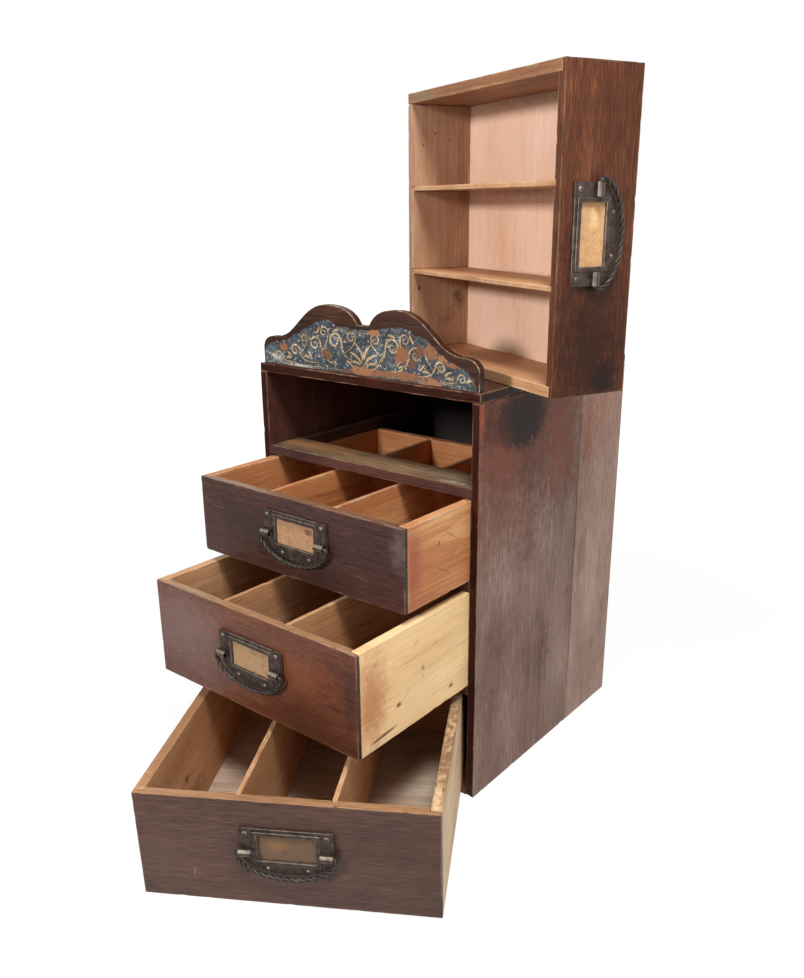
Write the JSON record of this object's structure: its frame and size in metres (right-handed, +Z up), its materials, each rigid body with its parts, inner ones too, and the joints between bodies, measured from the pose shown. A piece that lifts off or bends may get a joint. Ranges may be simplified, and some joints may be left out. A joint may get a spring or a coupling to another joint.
{
  "type": "haberdashery cabinet",
  "caption": "Small nest of divided drawers in stained wood with iron card-holder pulls and a scalloped crest, drawers pulled out and the top one stood on end.",
  "frame": {"origin": "middle of the carcass underside, on the surface that it stands on", "axes": "+Z up, -Y out of the carcass front, +X to the right as the front is faced"},
  "size_m": [0.3915, 0.5923, 0.7021],
  "materials": {
    "carcass_wood": "dark red-brown stain, worn along the edges",
    "rail_wood": "weathered, bare along the top",
    "dark_wood": "unpolished and darkened by age",
    "front_wood": "dark stain, thinly waxed",
    "pine": "bare, aged",
    "pale_pine": "bare, pale",
    "crest_paint": "worn painted field with plain scroll ornament, wood border",
    "iron": "dark, aged",
    "card": "aged, spotted"
  },
  "bodies": {
    "cabinet": {"side_left_front": "carcass_wood", "side_left_back": "carcass_wood", "side_right_front": "carcass_wood", "side_right_back": "carcass_wood", "top_board": "carcass_wood", "bottom_board": "carcass_wood", "back_board_left": "dark_wood", "back_board_right": "dark_wood", "rail_1": "rail_wood", "rail_2": "rail_wood", "rail_3": "rail_wood", "runner_1_left": "dark_wood", "runner_1_right": "dark_wood", "runner_2_left": "dark_wood", "runner_2_right": "dark_wood", "runner_3_left": "dark_wood", "runner_3_right": "dark_wood", "crest_board": "crest_paint"},
    "drawer_1": {"drawer_1_front": "front_wood", "drawer_1_side_left": "pine", "drawer_1_side_right": "pine", "drawer_1_back": "pine", "drawer_1_bottom": "pale_pine", "drawer_1_divider_left": "pine", "drawer_1_divider_right": "pine", "drawer_1_label_plate": "iron", "drawer_1_card": "card"},
    "drawer_2": {"drawer_2_front": "front_wood", "drawer_2_side_left": "pine", "drawer_2_side_right": "pine", "drawer_2_back": "pine", "drawer_2_bottom": "pine", "drawer_2_divider_left": "pine", "drawer_2_divider_right": "pine", "drawer_2_label_plate": "iron", "drawer_2_card": "card"},
    "drawer_3": {"drawer_3_front": "front_wood", "drawer_3_side_left": "pine", "drawer_3_side_right": "pine", "drawer_3_back": "pine", "drawer_3_bottom": "pine", "drawer_3_divider_left": "pine", "drawer_3_divider_right": "pine", "drawer_3_label_plate": "iron", "drawer_3_card": "card"},
    "drawer_4": {"drawer_4_front": "front_wood", "drawer_4_side_left": "pine", "drawer_4_side_right": "pine", "drawer_4_back": "pine", "drawer_4_bottom": "pale_pine", "drawer_4_divider_left": "pine", "drawer_4_divider_right": "pine", "drawer_4_label_plate": "iron", "drawer_4_card": "card"},
    "bail_1": {"drawer_1_bail": "iron"},
    "bail_2": {"drawer_2_bail": "iron"},
    "bail_3": {"drawer_3_bail": "iron"},
    "bail_4": {"drawer_4_bail": "iron"}
  },
  "joints": [
    {"name": "drawer_1_lift", "type": "slide", "parent": "cabinet", "child": "drawer_1", "axis": [0, 0, 1], "range_m": [0, 0.3]},
    {"name": "drawer_2_slide", "type": "slide", "parent": "cabinet", "child": "drawer_2", "axis": [0, -1, 0], "range_m": [-0.099, 0.138]},
    {"name": "drawer_3_slide", "type": "slide", "parent": "cabinet", "child": "drawer_3", "axis": [0, -1, 0], "range_m": [-0.165, 0.072]},
    {"name": "drawer_4_slide", "type": "slide", "parent": "cabinet", "child": "drawer_4", "axis": [0.506, -0.8625, 0], "range_m": [-0.025, 0.09]},
    {"name": "bail_1_swing", "type": "hinge", "parent": "drawer_1", "child": "bail_1", "pos_m": [0.22742, -0.09823, 0.5677], "axis": [0, 0, -1], "range_deg": [0, 170]},
    {"name": "bail_2_swing", "type": "hinge", "parent": "drawer_2", "child": "bail_2", "pos_m": [0.002, -0.252, 0.2881], "axis": [-1, 0, 0], "range_deg": [0, 170]},
    {"name": "bail_3_swing", "type": "hinge", "parent": "drawer_3", "child": "bail_3", "pos_m": [0.0035, -0.318, 0.1836], "axis": [-1, 0, 0], "range_deg": [0, 170]},
    {"name": "bail_4_swing", "type": "hinge", "parent": "drawer_4", "child": "bail_4", "pos_m": [0.1102, -0.37997, 0.06067], "axis": [-0.8625, -0.5059, -0.0126], "range_deg": [0, 170]}
  ]
}
